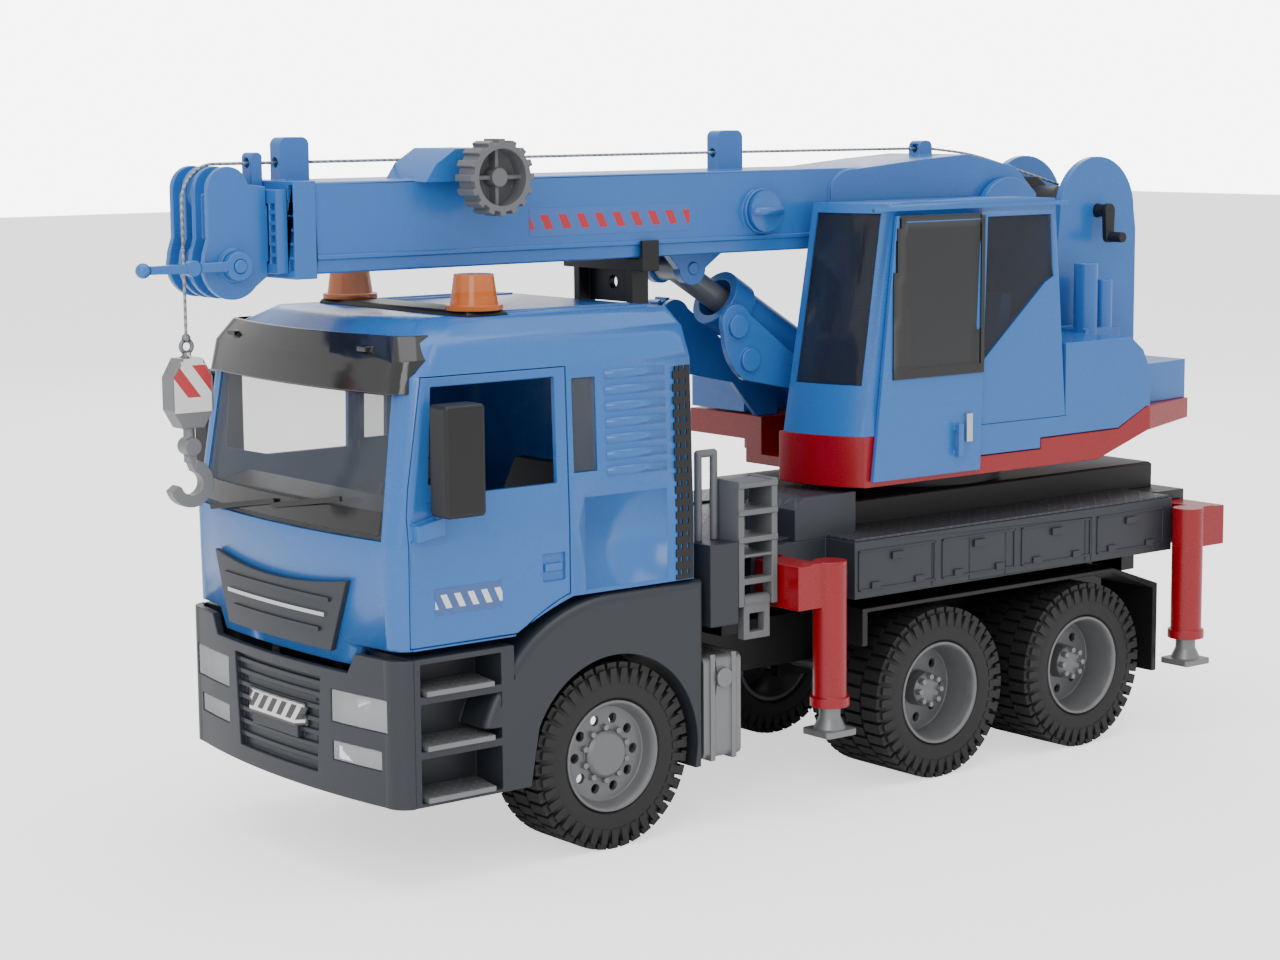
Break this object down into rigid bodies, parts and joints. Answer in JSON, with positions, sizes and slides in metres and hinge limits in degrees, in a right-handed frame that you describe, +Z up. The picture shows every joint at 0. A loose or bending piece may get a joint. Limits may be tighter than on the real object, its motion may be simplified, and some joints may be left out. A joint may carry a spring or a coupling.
{
  "type": "toy crane truck",
  "caption": "Toy mobile crane truck with tilting cab, slewing crane, telescopic luffing boom, winch and hook, and sliding outriggers.",
  "frame": {"origin": "on the ground under the middle of the whole toy", "axes": "X along the truck with the front at -X, +Y the right-hand side, +Z up"},
  "size_m": [0.5216, 0.1872, 0.2765],
  "materials": {
    "blue_plastic": "semi-gloss moulded plastic",
    "dark_grey_plastic": "satin moulded plastic",
    "black_plastic": "satin moulded plastic",
    "light_grey_plastic": "satin moulded plastic",
    "silver_plastic": "silver coloured moulded plastic",
    "red_plastic": "glossy moulded plastic",
    "orange_clear": "clear orange plastic",
    "smoked_clear": "smoked clear plastic",
    "clear": "clear plastic lens",
    "tyre_rubber": "matt rubber",
    "rope_cord": "twisted cord"
  },
  "bodies": {
    "chassis": {"chassis_frame": "black_plastic", "front_bumper": "dark_grey_plastic", "lamp_units": "clear", "fenders": "dark_grey_plastic", "step_treads": "silver_plastic", "rear_mudguards": "black_plastic", "side_tanks": "silver_plastic", "deck_body": "dark_grey_plastic", "deck_walkway": "silver_plastic", "turntable_base": "black_plastic", "boom_rest": "black_plastic", "ladder": "light_grey_plastic"},
    "folding_step": {"fold_step": "light_grey_plastic"},
    "front_axle": {"front_tyres": "tyre_rubber", "front_rims_and_shaft": "silver_plastic"},
    "middle_axle": {"middle_tyres": "tyre_rubber", "middle_rims_and_shaft": "silver_plastic"},
    "rear_axle": {"rear_tyres": "tyre_rubber", "rear_rims_and_shaft": "silver_plastic"},
    "truck_cab": {"cab_shell": "blue_plastic", "cab_windows": "smoked_clear", "sun_visor": "black_plastic", "grille_panel": "dark_grey_plastic", "light_bar": "black_plastic", "beacons": "orange_clear", "cab_interior": "black_plastic"},
    "left_door": {"door_left": "blue_plastic"},
    "right_door": {"door_right": "blue_plastic"},
    "left_mirror": {"mirror_left": "black_plastic"},
    "right_mirror": {"mirror_right": "black_plastic"},
    "superstructure": {"turret_base": "red_plastic", "turret_body": "blue_plastic", "crane_cab_shell": "blue_plastic", "crane_cab_windows": "smoked_clear", "rope_at_winch": "rope_cord"},
    "sliding_door": {"crane_cab_door": "blue_plastic"},
    "boom_base": {"boom_outer": "blue_plastic", "rope_on_boom": "rope_cord"},
    "boom_middle": {"boom_mid": "blue_plastic"},
    "boom_head": {"boom_tip": "blue_plastic", "rope_at_tip": "rope_cord"},
    "knob": {"extension_knob": "light_grey_plastic"},
    "lock_button": {"boom_lock": "blue_plastic"},
    "pull_lever": {"tip_lever": "blue_plastic"},
    "cylinder_barrel": {"luff_barrel": "blue_plastic"},
    "cylinder_rod": {"luff_rod": "silver_plastic"},
    "side_knob": {"luff_knob": "light_grey_plastic"},
    "winch": {"winch_drum": "black_plastic"},
    "rope_fall": {"rope_hanging": "rope_cord"},
    "hook_carrier": {"hook_block": "silver_plastic"},
    "load_hook": {"hook": "silver_plastic"},
    "outrigger_front_left": {"outrigger_leg_front_left": "red_plastic"},
    "support_front_left": {"outrigger_foot_front_left": "silver_plastic"},
    "outrigger_front_right": {"outrigger_leg_front_right": "red_plastic"},
    "support_front_right": {"outrigger_foot_front_right": "silver_plastic"},
    "outrigger_rear_left": {"outrigger_leg_rear_left": "red_plastic"},
    "support_rear_left": {"outrigger_foot_rear_left": "silver_plastic"},
    "outrigger_rear_right": {"outrigger_leg_rear_right": "red_plastic"},
    "support_rear_right": {"outrigger_foot_rear_right": "silver_plastic"}
  },
  "joints": [
    {"name": "front_axle_spin", "type": "hinge", "parent": "chassis", "child": "front_axle", "pos_m": [-0.0922, 0, 0.037], "axis": [0, 1, 0], "continuous": true},
    {"name": "middle_axle_spin", "type": "hinge", "parent": "chassis", "child": "middle_axle", "pos_m": [0.0843, 0, 0.037], "axis": [0, 1, 0], "continuous": true},
    {"name": "rear_axle_spin", "type": "hinge", "parent": "chassis", "child": "rear_axle", "pos_m": [0.1728, 0, 0.037], "axis": [0, 1, 0], "continuous": true},
    {"name": "fold_step_swing", "type": "hinge", "parent": "chassis", "child": "folding_step", "pos_m": [-0.0202, -0.0745, 0.09], "axis": [-1, 0, 0], "range_deg": [0, 138]},
    {"name": "outrigger_front_left_out", "type": "slide", "parent": "chassis", "child": "outrigger_front_left", "axis": [0, -1, 0], "range_m": [0, 0.038]},
    {"name": "support_front_left_down", "type": "slide", "parent": "outrigger_front_left", "child": "support_front_left", "axis": [0, 0, -1], "range_m": [0, 0.0315]},
    {"name": "outrigger_front_right_out", "type": "slide", "parent": "chassis", "child": "outrigger_front_right", "axis": [0, 1, 0], "range_m": [0, 0.038]},
    {"name": "support_front_right_down", "type": "slide", "parent": "outrigger_front_right", "child": "support_front_right", "axis": [0, 0, -1], "range_m": [0, 0.0315]},
    {"name": "outrigger_rear_left_out", "type": "slide", "parent": "chassis", "child": "outrigger_rear_left", "axis": [0, -1, 0], "range_m": [0, 0.038]},
    {"name": "support_rear_left_down", "type": "slide", "parent": "outrigger_rear_left", "child": "support_rear_left", "axis": [0, 0, -1], "range_m": [0, 0.0315]},
    {"name": "outrigger_rear_right_out", "type": "slide", "parent": "chassis", "child": "outrigger_rear_right", "axis": [0, 1, 0], "range_m": [0, 0.038]},
    {"name": "support_rear_right_down", "type": "slide", "parent": "outrigger_rear_right", "child": "support_rear_right", "axis": [0, 0, -1], "range_m": [0, 0.0315]},
    {"name": "cab_tilt", "type": "hinge", "parent": "chassis", "child": "truck_cab", "pos_m": [-0.1762, 0, 0.078], "axis": [0, -1, 0], "range_deg": [0, 6]},
    {"name": "left_door_open", "type": "hinge", "parent": "truck_cab", "child": "left_door", "pos_m": [-0.1848, -0.0763, 0.12], "axis": [0, 0, -1], "range_deg": [0, 65]},
    {"name": "right_door_open", "type": "hinge", "parent": "truck_cab", "child": "right_door", "pos_m": [-0.1848, 0.0763, 0.12], "axis": [0, 0, 1], "range_deg": [0, 65]},
    {"name": "left_mirror_fold", "type": "hinge", "parent": "left_door", "child": "left_mirror", "pos_m": [-0.1734, -0.0786, 0.14], "axis": [0, 0, 1], "range_deg": [-38, 12]},
    {"name": "right_mirror_fold", "type": "hinge", "parent": "right_door", "child": "right_mirror", "pos_m": [-0.1734, 0.0786, 0.14], "axis": [0, 0, -1], "range_deg": [-38, 12]},
    {"name": "slew", "type": "hinge", "parent": "chassis", "child": "superstructure", "pos_m": [0.1298, 0, 0.125], "axis": [0, 0, 1], "continuous": true},
    {"name": "crane_door_slide", "type": "slide", "parent": "superstructure", "child": "sliding_door", "axis": [1, 0, 0], "range_m": [0, 0.045]},
    {"name": "boom_luff", "type": "hinge", "parent": "superstructure", "child": "boom_base", "pos_m": [0.1698, 0, 0.238], "axis": [0, 1, 0], "range_deg": [0, 45], "deforming": ["rope_at_winch"]},
    {"name": "boom_middle_slide", "type": "slide", "parent": "boom_base", "child": "boom_middle", "axis": [-1, 0, 0], "range_m": [0, 0.15]},
    {"name": "boom_head_slide", "type": "slide", "parent": "boom_middle", "child": "boom_head", "axis": [-1, 0, 0], "range_m": [0, 0.15]},
    {"name": "extension_knob_turn", "type": "hinge", "parent": "boom_base", "child": "knob", "pos_m": [-0.1212, -0.042, 0.2606], "axis": [0, 1, 0], "range_deg": [0, 1305]},
    {"name": "boom_lock_turn", "type": "hinge", "parent": "boom_base", "child": "lock_button", "pos_m": [0.0268, -0.03, 0.243], "axis": [0, 1, 0], "range_deg": [0, 90]},
    {"name": "pull_lever_swing", "type": "hinge", "parent": "boom_head", "child": "pull_lever", "pos_m": [-0.2192, -0.018, 0.23], "axis": [0, 1, 0], "range_deg": [-35, 75]},
    {"name": "barrel_tilt", "type": "hinge", "parent": "superstructure", "child": "cylinder_barrel", "pos_m": [0.1267, 0, 0.141], "axis": [0, 1, 0], "range_deg": [0, 36]},
    {"name": "rod_swing", "type": "hinge", "parent": "boom_base", "child": "cylinder_rod", "pos_m": [-0.0002, 0, 0.2195], "axis": [0, 1, 0], "range_deg": [-14, 1]},
    {"name": "side_knob_turn", "type": "hinge", "parent": "superstructure", "child": "side_knob", "pos_m": [0.0158, 0.028, 0.195], "axis": [0, 1, 0], "range_deg": [-1, 361]},
    {"name": "winch_turn", "type": "hinge", "parent": "superstructure", "child": "winch", "pos_m": [0.2333, 0, 0.237], "axis": [0, 1, 0], "range_deg": [-670, 48]},
    {"name": "rope_swing", "type": "hinge", "parent": "boom_head", "child": "rope_fall", "pos_m": [-0.2192, 0, 0.23], "axis": [0, 1, 0], "range_deg": [-46, 1]},
    {"name": "hook_lift", "type": "slide", "parent": "rope_fall", "child": "hook_carrier", "axis": [0, 0, 1], "range_m": [-0.1361, 0.0102], "deforming": ["rope_hanging"]},
    {"name": "hook_swivel", "type": "hinge", "parent": "hook_carrier", "child": "load_hook", "pos_m": [-0.2318, 0, 0.165], "axis": [0, 0, 1], "continuous": true}
  ],
  "couplings": [
    {"joint": "barrel_tilt", "follows": "boom_luff", "ratio": 0.781},
    {"joint": "rod_swing", "follows": "boom_luff", "ratio": -0.219},
    {"joint": "rope_swing", "follows": "boom_luff", "ratio": -1},
    {"joint": "side_knob_turn", "follows": "boom_luff", "ratio": 8},
    {"joint": "extension_knob_turn", "follows": "boom_middle_slide", "rad_per_m": 151.52},
    {"joint": "hook_lift", "follows": "winch_turn", "m_per_rad": 0.0116}
  ]
}
